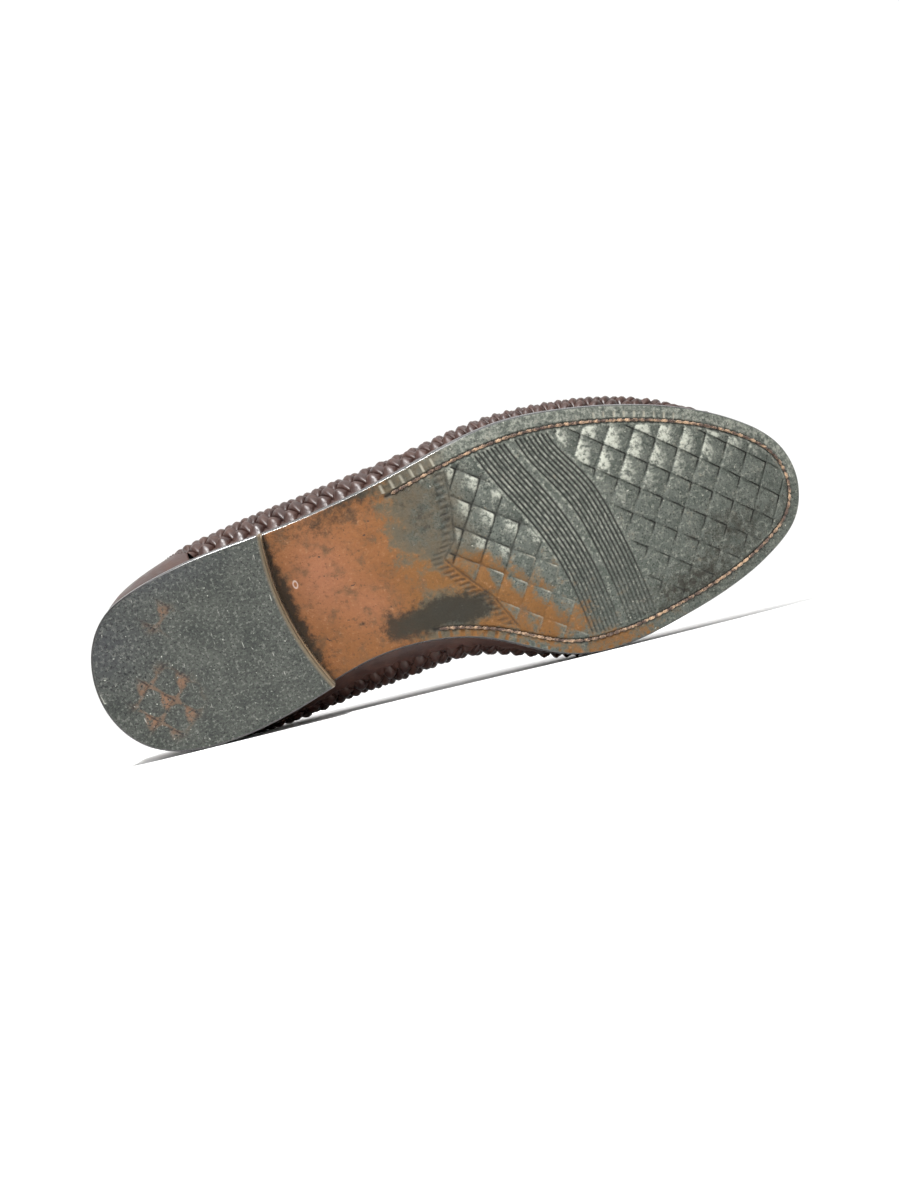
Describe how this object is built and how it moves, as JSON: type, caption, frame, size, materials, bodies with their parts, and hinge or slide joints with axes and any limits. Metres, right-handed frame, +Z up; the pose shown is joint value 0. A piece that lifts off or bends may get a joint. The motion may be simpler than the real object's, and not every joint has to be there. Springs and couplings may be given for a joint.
{
  "type": "kiltie loafer",
  "caption": "Right slip-on leather dress shoe lying on its medial side, with a woven hollow upper, fringed kiltie, welted leather sole and a low rubber-tipped heel.",
  "frame": {"origin": "centre of the bounding box, on the floor that the shoe lies on", "axes": "+X along the shoe from heel to toe, +Y from the sole towards the opening, +Z up from the floor towards the lateral side"},
  "size_m": [0.3106, 0.0936, 0.1097],
  "materials": {
    "sole_leather": "black sole paint worn to grey-green and tan leather, low sheen",
    "heel_black": "blacked and waxed leather edge, glossy",
    "heel_rubber": "scuffed dark grey rubber, matt",
    "upper_brown": "dark brown calf leather, polished",
    "insole_tan": "plain tan leather, matt"
  },
  "bodies": {
    "root": {"outsole": "sole_leather", "welt": "heel_black", "heel_base": "heel_black", "heel_lift": "heel_rubber", "upper": "upper_brown", "counter": "upper_brown", "band_lateral": "upper_brown", "band_medial": "upper_brown", "collar_binding": "upper_brown", "kiltie": "upper_brown", "insole": "insole_tan"}
  },
  "joints": []
}
